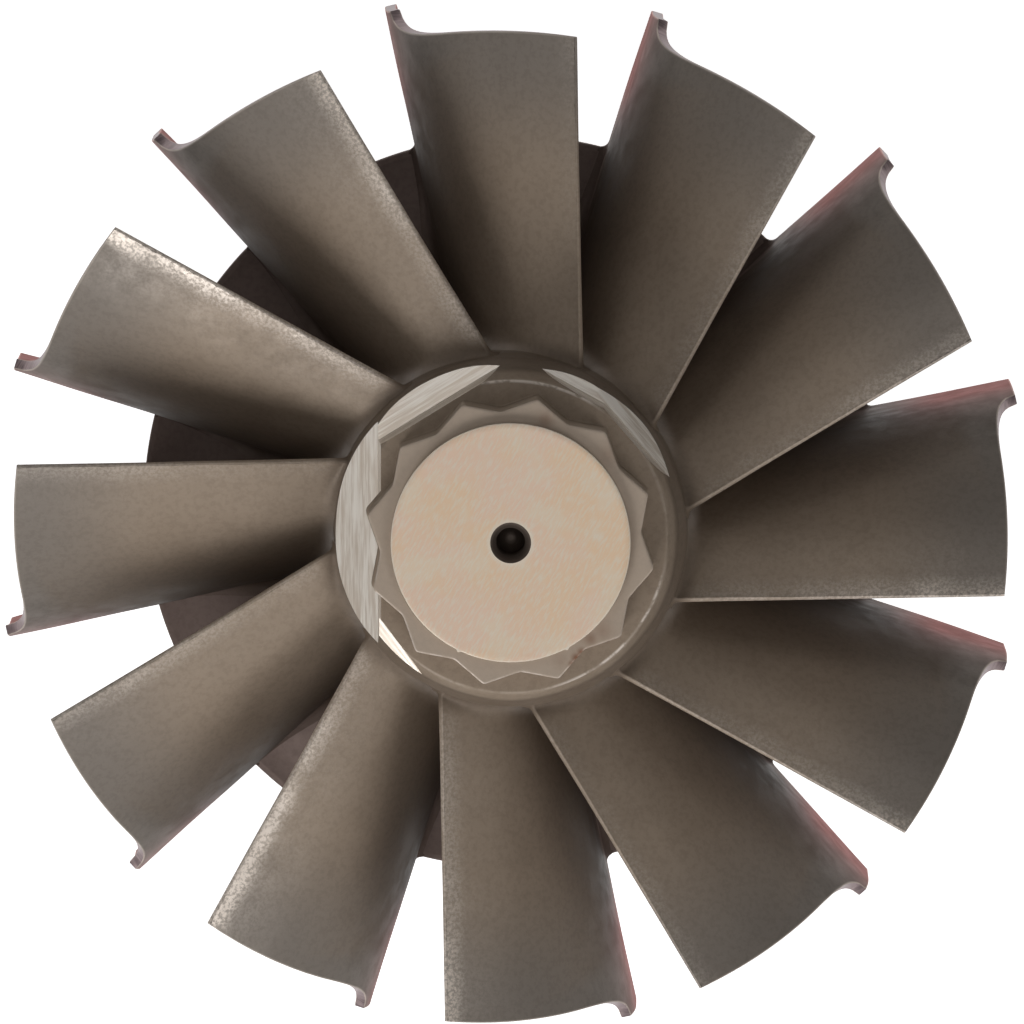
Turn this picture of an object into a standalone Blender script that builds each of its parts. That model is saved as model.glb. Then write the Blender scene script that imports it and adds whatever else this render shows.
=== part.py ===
"""Turbocharger turbine wheel: one investment casting in nickel alloy.

The wheel lies on its weld boss with its nose up. The axis is Z, the blades
turn about it, and the origin is the centre of the boss end. A hub turned from
one profile carries twelve blades. A blade's angle follows a cubic in the height,
so it stands straight at the rim and leans over towards the nose, where its
trailing edge lies in one plane across the axis.
"""

import math

import bmesh
import bpy
from mathutils import Matrix, Vector

MM = 0.001

# Heights: the weld boss ends at zero, and the rest is set from the back of the rim
RIM_BACK_Z = 9.0 * MM
INLET_TOP_Z = RIM_BACK_Z + 18.1 * MM
SHROUD_END_Z = RIM_BACK_Z + 27.8 * MM
OUTLET_Z = RIM_BACK_Z + 38.3 * MM
COLLAR_Z = RIM_BACK_Z + 41.2 * MM
LEDGE_Z = RIM_BACK_Z + 46.0 * MM
STAR_TOP_Z = RIM_BACK_Z + 52.3 * MM
NOSE_Z = RIM_BACK_Z + 53.3 * MM

# Radii
INLET_RADIUS = 55.0 * MM
OUTLET_RADIUS = 52.2 * MM
DISC_RADIUS = 39.4 * MM
COLLAR_RADIUS = 17.6 * MM
LEDGE_RADIUS = 16.4 * MM
BOSS_RADIUS = 13.0 * MM
BOSS_FILLET = 2.0 * MM
BOSS_FILLET_POINTS = 4
STAR_RADIUS = 15.2 * MM
NOSE_RADIUS = 12.5 * MM
CENTRE_HOLE_RADIUS = 2.0 * MM
CENTRE_HOLE_DEPTH = 6.0 * MM

# The back is a cone: it rises outwards along the disc and the blades' back edges
BACK_SLOPE = math.radians(12.0)
BACK_EDGE_STEP = 0.3 * MM

# The hub line is a quarter ellipse from the collar down to the disc
HUB_SPREAD = 24.4 * MM
HUB_DROP = 39.4 * MM
HUB_POINTS = 9
TURN_STEPS = 60

# Blades
BLADE_COUNT = 12
INLET_ANGLE = math.radians(103.5)
WRAP_START_Z = RIM_BACK_Z + 9.3 * MM
WRAP_POWER = 3.0
OUTLET_OFFSET = 7.1 * MM
ROOT_SINK = 1.6 * MM
ROOT_ROUNDS = 30
TIP_THICKNESS_INLET = 1.3 * MM
TIP_THICKNESS_OUTLET = 0.8 * MM
THICKENING_INLET = 0.044
THICKENING_OUTLET = 0.037
SPAN_STATIONS = 5
INLET_STATIONS = 4
BEND_STATIONS = 5
OUTLET_STATIONS = 5

# Nose: two hexagons turned by half a side, a round face and a centre hole
HEXAGON_SIDES = 6
HEXAGON_ANGLES = (math.radians(19.3), math.radians(49.3))
FACE_SIDES = 48
HOLE_SIDES = 24
NOSE_SINK = 2.0 * MM
HOLE_OVERRUN = 1.0 * MM

# Flats ground on the collar for balance: azimuth, then the distance and the
# height of the line where the sloping floor meets the steep wall
FLAT_FALL = math.radians(22.0)
FLAT_WALL_LEAN = math.radians(4.0)
FLAT_REACH = 5.0 * MM
FLAT_WIDTH = 40.0 * MM
FLAT_OVERRUN = 1.0 * MM
FLATS = (
    (math.radians(180.0), 13.9 * MM, 49.6 * MM),
    (math.radians(121.5), 15.6 * MM, 50.6 * MM),
    (math.radians(61.0), 16.7 * MM, 50.8 * MM),
    (math.radians(41.0), 16.4 * MM, 50.6 * MM),
    (math.radians(212.5), 15.7 * MM, 50.2 * MM),
)

SMOOTH_ANGLE = math.radians(30.0)


def clear_scene():
    """Remove every object that the file holds."""
    for item in list(bpy.data.objects):
        bpy.data.objects.remove(item, do_unlink=True)


def new_collection(name):
    """Add a collection to the scene."""
    group = bpy.data.collections.new(name)
    bpy.context.scene.collection.children.link(group)
    return group


def new_material(name, colour, roughness, metallic):
    """Make a plain metal material."""
    material = bpy.data.materials.new(name)
    material.use_nodes = True
    shader = material.node_tree.nodes["Principled BSDF"]
    shader.inputs["Base Color"].default_value = (*colour, 1.0)
    shader.inputs["Roughness"].default_value = roughness
    shader.inputs["Metallic"].default_value = metallic
    return material


def add_object(name, mesh, group):
    """Put a mesh into a collection as a named object."""
    item = bpy.data.objects.new(name, mesh)
    group.objects.link(item)
    return item


def spread(low, high, count):
    """Evenly spaced values from low to high."""
    return [low + (high - low) * step / (count - 1) for step in range(count)]


def back_z(radius):
    """Height of the conical back at a radius."""
    return RIM_BACK_Z + (radius - DISC_RADIUS) * math.tan(BACK_SLOPE)


def edge_z(radius):
    """Height of a blade's back edge, just in front of the cone."""
    return back_z(radius) + BACK_EDGE_STEP


def hub_radius(z):
    """Radius of the hub line at a height between the disc and the collar."""
    fall = (COLLAR_Z - z) / HUB_DROP
    return COLLAR_RADIUS + HUB_SPREAD * (1.0 - math.sqrt(1.0 - min(fall, 1.0) ** 2))


def hub_profile():
    """Outer side of the turned hub: collar, disc, conical back and weld boss."""
    rim_reach = 1.0 - (DISC_RADIUS - COLLAR_RADIUS) / HUB_SPREAD
    last_turn = math.acos(rim_reach)
    profile = [(0.0, LEDGE_Z), (LEDGE_RADIUS, LEDGE_Z)]
    for step in range(HUB_POINTS + 1):
        turn = last_turn * step / HUB_POINTS
        radius = COLLAR_RADIUS + HUB_SPREAD * (1.0 - math.cos(turn))
        profile.append((radius, COLLAR_Z - HUB_DROP * math.sin(turn)))
    profile.append((DISC_RADIUS, RIM_BACK_Z))
    foot_z = back_z(BOSS_RADIUS + BOSS_FILLET)
    for turn in spread(0.0, math.pi / 2.0, BOSS_FILLET_POINTS):
        profile.append((BOSS_RADIUS + BOSS_FILLET * (1.0 - math.sin(turn)),
                        foot_z - BOSS_FILLET * (1.0 - math.cos(turn))))
    profile.append((BOSS_RADIUS, 0.0))
    profile.append((0.0, 0.0))
    return profile


def turned_mesh(name, profile):
    """Line of points in the XZ plane, ready for a Screw modifier."""
    mesh = bpy.data.meshes.new(name)
    points = [(radius, 0.0, z) for radius, z in profile]
    edges = [(i, i + 1) for i in range(len(points) - 1)]
    mesh.from_pydata(points, edges, [])
    return mesh


def add_screw(item):
    """Turn an object's profile about Z."""
    turn = item.modifiers.new("Turned", "SCREW")
    turn.steps = TURN_STEPS
    turn.render_steps = TURN_STEPS
    turn.use_smooth_shade = True
    turn.use_merge_vertices = True
    turn.merge_threshold = 0.00001


def outlet_wrap(radius):
    """Angle that the blade turns through at a radius, from its inlet to its outlet.

    The trailing edge is straight when seen along the axis and passes the axis at
    OUTLET_OFFSET.
    """
    return INLET_ANGLE - math.pi / 2.0 + math.asin(OUTLET_OFFSET / radius)


def blade_angle(radius, z):
    """Angle of the blade's mean sheet at a radius and a height."""
    rise = (z - WRAP_START_Z) / (OUTLET_Z - WRAP_START_Z)
    return INLET_ANGLE - outlet_wrap(radius) * max(rise, 0.0) ** WRAP_POWER


def tip_radius(z):
    """Radius of the blade tip: the inlet edge, the bend and the outlet edge."""
    if z <= INLET_TOP_Z:
        return INLET_RADIUS
    if z >= SHROUD_END_Z:
        return OUTLET_RADIUS
    left = (SHROUD_END_Z - z) / (SHROUD_END_Z - INLET_TOP_Z)
    drop = INLET_RADIUS - OUTLET_RADIUS
    return INLET_RADIUS - drop * math.sqrt(1.0 - left ** 2)


def tip_stations():
    """Heights of the tip points, from the back edge to the trailing edge."""
    inlet = spread(edge_z(INLET_RADIUS), INLET_TOP_Z, INLET_STATIONS)
    depth = SHROUD_END_Z - INLET_TOP_Z
    turns = spread(0.0, math.pi / 2.0, BEND_STATIONS + 1)[1:]
    bend = [SHROUD_END_Z - depth * math.cos(turn) for turn in turns]
    outlet = spread(SHROUD_END_Z, OUTLET_Z, OUTLET_STATIONS + 1)[1:]
    return inlet + bend + outlet


def station_share(tip_z):
    """Place of a station, from 0 at the back edge to 1 at the trailing edge."""
    low = edge_z(INLET_RADIUS)
    return (tip_z - low) / (OUTLET_Z - low)


def station_z(tip_z, radius):
    """Height on the blade at a radius, for the station that starts at tip_z."""
    low = edge_z(radius)
    return low + station_share(tip_z) * (OUTLET_Z - low)


def root_radius(tip_z):
    """Radius of the blade root, sunk a little into the hub."""
    radius = DISC_RADIUS - ROOT_SINK
    for _ in range(ROOT_ROUNDS):
        wanted = hub_radius(station_z(tip_z, radius)) - ROOT_SINK
        radius = 0.5 * (radius + min(wanted, DISC_RADIUS - ROOT_SINK))
    return radius


def blade_thickness(tip_z, radius):
    """Thickness across the blade, thin at the tip and thicker at the root."""
    share = station_share(tip_z)
    tip = TIP_THICKNESS_INLET + share * (TIP_THICKNESS_OUTLET - TIP_THICKNESS_INLET)
    growth = THICKENING_INLET + share * (THICKENING_OUTLET - THICKENING_INLET)
    return tip + growth * (INLET_RADIUS - radius)


def sheet_point(radius, z):
    """Point of the blade's mean sheet."""
    angle = blade_angle(radius, z)
    return Vector((radius * math.cos(angle), radius * math.sin(angle), z))


def sheet_normal(radius, z):
    """Unit normal of the mean sheet, on its trailing side."""
    step = 0.01 * MM
    radial = sheet_point(radius + step, z) - sheet_point(radius - step, z)
    rising = sheet_point(radius, z + step) - sheet_point(radius, z - step)
    return radial.cross(rising).normalized()


def blade_mesh():
    """Closed blade: two skins lofted over the stations, joined round the edge."""
    grids = ([], [])
    for tip_z in tip_stations():
        rows = ([], [])
        inner = root_radius(tip_z)
        for radius in spread(inner, tip_radius(tip_z), SPAN_STATIONS):
            z = station_z(tip_z, radius)
            half = 0.5 * blade_thickness(tip_z, radius)
            middle = sheet_point(radius, z)
            normal = sheet_normal(radius, z)
            rows[0].append(middle + half * normal)
            rows[1].append(middle - half * normal)
        grids[0].append(rows[0])
        grids[1].append(rows[1])
    builder = bmesh.new()
    front = [[builder.verts.new(point) for point in row] for row in grids[0]]
    back = [[builder.verts.new(point) for point in row] for row in grids[1]]
    last_row = len(front) - 1
    last_column = SPAN_STATIONS - 1
    for i in range(last_row):
        for j in range(last_column):
            builder.faces.new((front[i][j], front[i + 1][j],
                               front[i + 1][j + 1], front[i][j + 1]))
            builder.faces.new((back[i][j], back[i][j + 1],
                               back[i + 1][j + 1], back[i + 1][j]))
        for j in (0, last_column):
            builder.faces.new((front[i][j], back[i][j], back[i + 1][j], front[i + 1][j]))
    for j in range(last_column):
        for i in (0, last_row):
            builder.faces.new((front[i][j], front[i][j + 1], back[i][j + 1], back[i][j]))
    bmesh.ops.triangulate(builder, faces=builder.faces)
    bmesh.ops.recalc_face_normals(builder, faces=builder.faces)
    mesh = bpy.data.meshes.new("blade")
    builder.to_mesh(mesh)
    builder.free()
    mesh.shade_smooth()
    mesh.set_sharp_from_angle(angle=SMOOTH_ANGLE)
    return mesh


def blade_ring(group):
    """All blades as one object: copies of one blade turned about the axis."""
    one = blade_mesh()
    builder = bmesh.new()
    for index in range(BLADE_COUNT):
        start = len(builder.verts)
        builder.from_mesh(one)
        builder.verts.ensure_lookup_table()
        turn = Matrix.Rotation(index * math.tau / BLADE_COUNT, 4, "Z")
        bmesh.ops.transform(builder, matrix=turn, verts=builder.verts[start:])
    mesh = bpy.data.meshes.new("blade_ring")
    builder.to_mesh(mesh)
    builder.free()
    bpy.data.meshes.remove(one)
    return add_object("blade_ring", mesh, group)


def prism(name, group, sides, radius, low, high, angle=0.0):
    """Upright prism or cylinder with a corner at the given angle."""
    builder = bmesh.new()
    middle = Matrix.Translation((0.0, 0.0, 0.5 * (low + high)))
    turn = Matrix.Rotation(angle, 4, "Z")
    bmesh.ops.create_cone(builder, cap_ends=True, segments=sides, radius1=radius,
                          radius2=radius, depth=high - low, matrix=middle @ turn)
    mesh = bpy.data.meshes.new(name)
    builder.to_mesh(mesh)
    builder.free()
    return add_object(name, mesh, group)


def flat_cutter(name, group, azimuth, inner, floor_z):
    """Wedge that cuts one ground flat: a sloping floor below a steep wall."""
    top = LEDGE_Z + FLAT_OVERRUN
    outer = inner + FLAT_REACH
    section = (
        (inner, floor_z),
        (outer, floor_z - FLAT_REACH * math.tan(FLAT_FALL)),
        (outer, top),
        (inner - (top - floor_z) * math.tan(FLAT_WALL_LEAN), top),
    )
    builder = bmesh.new()
    turn = Matrix.Rotation(azimuth, 4, "Z")
    ends = []
    for side in (-0.5 * FLAT_WIDTH, 0.5 * FLAT_WIDTH):
        ends.append([builder.verts.new(turn @ Vector((x, side, z))) for x, z in section])
    builder.faces.new(ends[0])
    builder.faces.new(ends[1])
    for i in range(len(section)):
        builder.faces.new((ends[0][i - 1], ends[0][i], ends[1][i], ends[1][i - 1]))
    bmesh.ops.recalc_face_normals(builder, faces=builder.faces)
    mesh = bpy.data.meshes.new(name)
    builder.to_mesh(mesh)
    builder.free()
    return add_object(name, mesh, group)


def add_boolean(item, cutter, operation):
    """Join or cut an object with another one."""
    change = item.modifiers.new(cutter.name, "BOOLEAN")
    change.operation = operation
    change.solver = "EXACT"
    change.object = cutter


def hide_cutters(group):
    """Show cutters as wires and keep them out of renders."""
    for item in group.objects:
        item.display_type = "WIRE"
        item.hide_render = True


def build_wheel():
    """Build the wheel: hub, blades, nose, centre hole and ground flats."""
    parts = new_collection("turbine_wheel")
    cutters = new_collection("cutters")
    wheel = add_object("turbine_wheel", turned_mesh("turbine_wheel", hub_profile()), parts)
    wheel.data.materials.append(
        new_material("cast_nickel_alloy", (0.30, 0.26, 0.22), 0.55, 0.9))
    add_screw(wheel)
    for index, flat in enumerate(FLATS, start=1):
        cutter = flat_cutter(f"balance_flat_{index}", cutters, *flat)
        add_boolean(wheel, cutter, "DIFFERENCE")
    add_boolean(wheel, blade_ring(cutters), "UNION")
    root = LEDGE_Z - NOSE_SINK
    for index, corner in enumerate(HEXAGON_ANGLES, start=1):
        star = prism(f"hexagon_{index}", cutters, HEXAGON_SIDES, STAR_RADIUS,
                     root, STAR_TOP_Z, corner)
        add_boolean(wheel, star, "UNION")
    face = prism("nose_face", cutters, FACE_SIDES, NOSE_RADIUS, root, NOSE_Z)
    add_boolean(wheel, face, "UNION")
    hole = prism("centre_hole", cutters, HOLE_SIDES, CENTRE_HOLE_RADIUS,
                 NOSE_Z - CENTRE_HOLE_DEPTH, NOSE_Z + HOLE_OVERRUN)
    add_boolean(wheel, hole, "DIFFERENCE")
    hide_cutters(cutters)
    return wheel


clear_scene()
build_wheel()
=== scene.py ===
"""Dress the turbocharger turbine wheel: cast blades and hub, nose, studio and camera.

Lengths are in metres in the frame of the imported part. The axis is Z, the nose points
up, and the photograph's upward direction is +Y.
"""

import logging
import math
from dataclasses import dataclass
from enum import Enum

import bpy
import numpy as np
from mathutils import Matrix, Vector


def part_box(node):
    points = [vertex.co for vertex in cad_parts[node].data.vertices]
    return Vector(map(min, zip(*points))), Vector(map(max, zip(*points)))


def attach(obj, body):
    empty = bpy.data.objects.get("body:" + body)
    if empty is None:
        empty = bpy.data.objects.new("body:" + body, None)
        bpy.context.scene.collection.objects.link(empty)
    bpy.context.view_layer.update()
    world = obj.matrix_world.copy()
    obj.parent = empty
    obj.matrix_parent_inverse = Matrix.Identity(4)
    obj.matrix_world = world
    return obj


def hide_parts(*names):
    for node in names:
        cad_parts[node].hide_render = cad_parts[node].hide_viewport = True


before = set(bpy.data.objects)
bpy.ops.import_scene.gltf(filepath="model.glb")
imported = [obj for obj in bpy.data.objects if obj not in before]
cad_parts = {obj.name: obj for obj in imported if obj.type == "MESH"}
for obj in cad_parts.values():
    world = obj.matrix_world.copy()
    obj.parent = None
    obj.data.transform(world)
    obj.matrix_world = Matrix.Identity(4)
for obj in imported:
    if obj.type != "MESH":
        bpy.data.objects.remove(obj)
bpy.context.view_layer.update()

LOG = logging.getLogger("turbine_wheel_scene")

MM = 0.001
BODY = "root"
WHEEL_NODE = "turbine_wheel"
SHARP_ANGLE = math.radians(38.0)
FULL_TURN = 2.0 * math.pi
FAR = 1.0

Array = np.ndarray
Colour = tuple[float, float, float, float]
Range = tuple[float, float]

WHITE: Colour = (1.0, 1.0, 1.0, 1.0)


class Finish(Enum):
    """Named finishes of the wheel's surfaces."""

    CAST = "cast_alloy"
    TURNED = "turned_back"
    FACE = "brushed_nose_face"
    GROUND = "ground_flat"
    TIP = "machined_tip"
    HOLE = "drilled_hole"


@dataclass(frozen=True)
class WheelForm:
    """Driving sizes of the wheel, the same as those of its solid."""

    rim_back_z: float = 9.0 * MM
    inlet_top_z: float = 27.1 * MM
    shroud_end_z: float = 36.8 * MM
    outlet_z: float = 47.3 * MM
    collar_z: float = 50.2 * MM
    ledge_z: float = 55.0 * MM
    star_top_z: float = 61.3 * MM
    inlet_radius: float = 55.0 * MM
    outlet_radius: float = 52.2 * MM
    disc_radius: float = 39.4 * MM
    collar_radius: float = 17.6 * MM
    ledge_radius: float = 16.4 * MM
    shoulder_power: float = 1.6
    boss_radius: float = 13.0 * MM
    boss_fillet: float = 2.0 * MM
    back_slope: float = math.radians(12.0)
    back_edge_step: float = 0.3 * MM
    hub_spread: float = 24.4 * MM
    hub_drop: float = 39.4 * MM
    blade_count: int = 12
    inlet_angle: float = math.radians(103.5)
    wrap_start_z: float = 18.3 * MM
    wrap_power: int = 3
    outlet_offset: float = 7.1 * MM
    tip_thickness: float = 1.3 * MM
    tip_thinning: float = 0.5 * MM
    inward_growth: float = 0.044
    growth_loss: float = 0.007
    flare_size: float = 0.75 * MM
    flare_top_z: float = 51.2 * MM
    flare_full_z: float = 48.6 * MM
    flare_end_z: float = 46.0 * MM
    flare_fade: float = 10.0 * MM

    def back_z(self, radius: Array) -> Array:
        """Height of the conical back: it rises with the radius at a constant slope."""
        return self.rim_back_z + (radius - self.disc_radius) * math.tan(self.back_slope)

    def edge_z(self, radius: Array) -> Array:
        """Height of a blade's back edge, one step in front of the cone."""
        return self.back_z(radius) + self.back_edge_step

    def last_turn(self) -> float:
        """Angle along the hub's ellipse at which it reaches the disc's rim."""
        reach = (self.disc_radius - self.collar_radius) / self.hub_spread
        return math.acos(1.0 - reach)

    def rim_top_z(self) -> float:
        """Height at which the hub line meets the disc's rim."""
        return self.hub_line(np.array([self.last_turn()]))[0, 1]

    def collar_flare(self, height: Array) -> Array:
        """Extra radius of the collar's foot: a smooth rise that fades again further down.

        Args:
            height: Heights on the hub line.

        Returns:
            The extra radius at each height.
        """
        grown = smooth_step(self.flare_top_z - height, 0.0, self.flare_top_z - self.flare_full_z)
        faded = smooth_step(self.flare_end_z - height, 0.0, self.flare_fade)
        return self.flare_size * grown * (1.0 - faded)

    def hub_line(self, turn: Array) -> Array:
        """Quarter ellipse from the collar (turn 0) down and out to the rim, with the flare.

        Args:
            turn: Angles along the ellipse, in radians.

        Returns:
            Points (radius, height), one row each.
        """
        radius = self.collar_radius + self.hub_spread * (1.0 - np.cos(turn))
        height = self.collar_z - self.hub_drop * np.sin(turn)
        return np.stack([radius + self.collar_flare(height), height], axis=-1)

    def shoulder_line(self, share: Array) -> Array:
        """Rounded shoulder from the ledge (share 0) down to the collar (share 1).

        The radius falls short of the collar's by the taper times a power of the way
        still to go, so the shoulder bulges and runs upright into the collar.

        Args:
            share: Way down the shoulder, from 0 to 1.

        Returns:
            Points (radius, height), one row each.
        """
        taper = self.collar_radius - self.ledge_radius
        radius = self.collar_radius - taper * (1.0 - share) ** self.shoulder_power
        height = self.ledge_z + share * (self.collar_z - self.ledge_z)
        return np.stack([radius + self.collar_flare(height), height], axis=-1)

    def outlet_wrap(self, radius: Array) -> Array:
        """Angle a blade turns through at a radius; its trailing edge is straight."""
        return self.inlet_angle - math.pi / 2.0 + np.arcsin(self.outlet_offset / radius)

    def rise(self, z: Array) -> Array:
        """Way up the leaning part of a blade: 0 where it starts, 1 at the outlet."""
        return np.maximum((z - self.wrap_start_z) / (self.outlet_z - self.wrap_start_z), 0.0)

    def blade_angle(self, radius: Array, z: Array) -> Array:
        """Azimuth of the blade's mean sheet: the wrap grows with the cube of the rise."""
        return self.inlet_angle - self.outlet_wrap(radius) * self.rise(z) ** self.wrap_power

    def lean(self, radius: Array, z: Array) -> Array:
        """Angle turned through for each metre of height: the wrap's derivative by z."""
        steep = self.wrap_power * self.rise(z) ** (self.wrap_power - 1)
        return self.outlet_wrap(radius) * steep / (self.outlet_z - self.wrap_start_z)

    def tip_radius(self, z: Array) -> Array:
        """Radius of the blade tip: upright inlet edge, quarter-ellipse bend, outlet edge.

        Args:
            z: Heights of points on the tip.

        Returns:
            The tip's radius at each height.
        """
        depth = self.shroud_end_z - self.inlet_top_z
        left = np.clip((self.shroud_end_z - z) / depth, 0.0, 1.0)
        reach = self.inlet_radius - self.outlet_radius
        bend = self.inlet_radius - reach * np.sqrt(1.0 - left**2)
        return np.where(z <= self.inlet_top_z, self.inlet_radius, bend)

    def blade_thickness(self, radius: Array, z: Array) -> Array:
        """Blade thickness: thin at the tip and the outlet, growing towards the axis.

        Args:
            radius: Radius of each point.
            z: Height of each point.

        Returns:
            The full thickness at each point, without fillets.
        """
        low = self.edge_z(radius)
        share = np.clip((z - low) / (self.outlet_z - low), 0.0, 1.0)
        tip = self.tip_thickness - self.tip_thinning * share
        growth = self.inward_growth - self.growth_loss * share
        return tip + growth * (self.inlet_radius - radius)


@dataclass(frozen=True)
class GroundFlat:
    """One flat ground on the collar: a sloping floor below a steep wall."""

    azimuth: float
    inner: float
    floor_z: float
    fall: float = math.radians(22.0)
    wall_lean: float = math.radians(4.0)
    reach: float = 5.0 * MM
    width: float = 40.0 * MM
    overrun: float = 1.0 * MM
    sink: float = 0.06 * MM

    def floor_height(self, outward: Array) -> Array:
        """Height of the floor at a distance outward from the axis."""
        return self.floor_z - (outward - self.inner) * math.tan(self.fall)

    def cutter_points(self, ledge_z: float) -> Array:
        """Eight corners of the wedge that cuts the flat.

        The section has the floor's two ends, a point above the outer end and the
        top of the leaning wall; it is carried along the chord.

        Args:
            ledge_z: Height of the ledge that the wedge clears.

        Returns:
            Corner points, first the four of one end, then the four of the other.
        """
        top = ledge_z + self.overrun
        outer = self.inner + self.reach
        lean = (top - self.floor_z) * math.tan(self.wall_lean)
        outward = np.array([self.inner, outer, outer, self.inner - lean])
        height = np.array([self.floor_z, self.floor_height(outer), top, top])
        ends = []
        for side in (-0.5 * self.width, 0.5 * self.width):
            x = outward * math.cos(self.azimuth) - side * math.sin(self.azimuth)
            y = outward * math.sin(self.azimuth) + side * math.cos(self.azimuth)
            ends.append(np.stack([x, y, height], axis=-1))
        return np.concatenate(ends)

    def press(self, points: Array) -> Array:
        """Press points that stand above the floor to just below it.

        Args:
            points: Positions, one row each.

        Returns:
            The changed positions.
        """
        outward = points[:, 0] * math.cos(self.azimuth) + points[:, 1] * math.sin(self.azimuth)
        across = points[:, 1] * math.cos(self.azimuth) - points[:, 0] * math.sin(self.azimuth)
        floor = self.floor_height(outward) - self.sink
        inside = (outward > self.inner) & (outward < self.inner + self.reach)
        pressed = inside & (np.abs(across) < 0.5 * self.width) & (points[:, 2] > floor)
        moved = points.copy()
        moved[:, 2] = np.where(pressed, floor, points[:, 2])
        return moved


FLATS = (
    GroundFlat(math.radians(180.0), 13.9 * MM, 49.6 * MM),
    GroundFlat(math.radians(121.5), 15.6 * MM, 50.6 * MM),
    GroundFlat(math.radians(61.0), 16.7 * MM, 50.8 * MM),
    GroundFlat(math.radians(41.0), 16.4 * MM, 50.6 * MM),
    GroundFlat(math.radians(217.0), 16.2 * MM, 52.2 * MM),
)


def ring_faces(rows: int, columns: int, first: int) -> Array:
    """Quads between closed rings of points; columns run round, rows run outward and down.

    Args:
        rows: Number of rings.
        columns: Points in each ring.
        first: Index of the first ring's first point.

    Returns:
        Quads as rows of four point indices, facing outwards.
    """
    row, column = np.meshgrid(np.arange(rows - 1), np.arange(columns), indexing="ij")
    after = (column + 1) % columns
    corners = (row * columns + column, (row + 1) * columns + column,
               (row + 1) * columns + after, row * columns + after)
    return np.stack(corners, axis=-1).reshape(-1, 4) + first


def poled_points(rings: Array) -> Array:
    """Points of rings of shape (rows, columns, 3), the first and last drawn into poles."""
    ends = rings[[0, -1]].mean(axis=1)
    return np.concatenate([ends[:1], rings[1:-1].reshape(-1, 3), ends[1:]])


def polygon_mesh(name: str, points: Array, faces: list[Array],
                 slots: list[Array] | None = None) -> bpy.types.Mesh:
    """Make a mesh from point and face arrays.

    Args:
        name: Name of the mesh.
        points: Positions, one row each.
        faces: Arrays of faces, each with its own number of corners a face.
        slots: Material indices, one array for each array of faces; all 0 if left out.

    Returns:
        The new mesh.
    """
    corners = np.concatenate([block.ravel() for block in faces])
    counts = np.concatenate([np.full(len(block), block.shape[1]) for block in faces])
    starts = np.concatenate([[0], np.cumsum(counts)[:-1]])
    finishes = np.zeros(len(counts)) if slots is None else np.concatenate(slots)
    mesh = bpy.data.meshes.new(name)
    mesh.vertices.add(len(points))
    mesh.vertices.foreach_set("co", points.astype(np.float32).ravel())
    mesh.loops.add(len(corners))
    mesh.loops.foreach_set("vertex_index", corners.astype(np.int32))
    mesh.polygons.add(len(counts))
    mesh.polygons.foreach_set("loop_start", starts.astype(np.int32))
    mesh.polygons.foreach_set("loop_total", counts.astype(np.int32))
    mesh.polygons.foreach_set("material_index", finishes.astype(np.int32))
    mesh.update(calc_edges=True)
    mesh.validate()
    return mesh


def ring_solid(name: str, rings: Array, slots: Array) -> bpy.types.Mesh:
    """Closed solid of rings between two poles.

    Args:
        name: Name of the mesh.
        rings: Positions of shape (rows, columns, 3); the first and last rows are
            each drawn together into a pole.
        slots: Material index of each band between two rows.

    Returns:
        The new mesh.
    """
    rows, columns = rings.shape[:2]
    points = poled_points(rings)
    around = np.arange(columns)
    after = (around + 1) % columns
    first, last = 1, 1 + (rows - 3) * columns
    cap_top = np.stack([np.zeros(columns, int), first + around, first + after], axis=-1)
    pole = np.full(columns, len(points) - 1)
    cap_bottom = np.stack([last + after, last + around, pole], axis=-1)
    faces = [cap_top, ring_faces(rows - 2, columns, first), cap_bottom]
    bands = [np.repeat(part, columns) for part in (slots[:1], slots[1:-1], slots[-1:])]
    return polygon_mesh(name, points, faces, bands)


def add_object(name: str, data: bpy.types.ID) -> bpy.types.Object:
    """Link a mesh, a light or a camera into the scene at the origin.

    Args:
        name: Name of the object.
        data: Mesh, light or camera that it shows.

    Returns:
        The new object.
    """
    item = bpy.data.objects.new(name, data)
    bpy.context.scene.collection.objects.link(item)
    return item


def shade(mesh: bpy.types.Mesh) -> None:
    """Shade a mesh smooth and keep its steep edges sharp."""
    mesh.shade_smooth()
    mesh.set_sharp_from_angle(angle=SHARP_ANGLE)


def give_finishes(mesh: bpy.types.Mesh, *finishes: Finish) -> None:
    """Add finishes to a mesh's material slots, in order."""
    for finish in finishes:
        mesh.materials.append(bpy.data.materials[finish.value])


@dataclass
class SurfaceMarks:
    """Numbers at each point that the cast finish reads; gaps are distances in metres."""

    edge_gap: Array
    edge_wear: Array
    root_gap: Array | float = FAR
    tip_gap: Array | float = FAR
    edge_scuff: Array | float = 0.0
    oxide: Array | float = 0.0

    def store(self, mesh: bpy.types.Mesh) -> None:
        """Store each of them on the mesh's points, as an attribute of its own name.

        Args:
            mesh: Mesh with one point for each number.
        """
        for name, values in vars(self).items():
            layer = mesh.attributes.new(name, "FLOAT", "POINT")
            numbers = np.broadcast_to(np.ravel(values), len(mesh.vertices))
            layer.data.foreach_set("value", numbers.astype(np.float32))


def smooth_step(values: Array, low: float, high: float) -> Array:
    """Smooth rise from 0 at the low value to 1 at the high one."""
    share = np.clip((values - low) / (high - low), 0.0, 1.0)
    return share * share * (3.0 - 2.0 * share)


def arc(middle: Range, radius: float, start: float, end: float, steps: int) -> Array:
    """Points on a circle in the (radius, height) plane, angles in degrees."""
    angle = np.radians(np.linspace(start, end, steps + 1))
    return np.array(middle) + radius * np.stack([np.cos(angle), np.sin(angle)], axis=-1)


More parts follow.
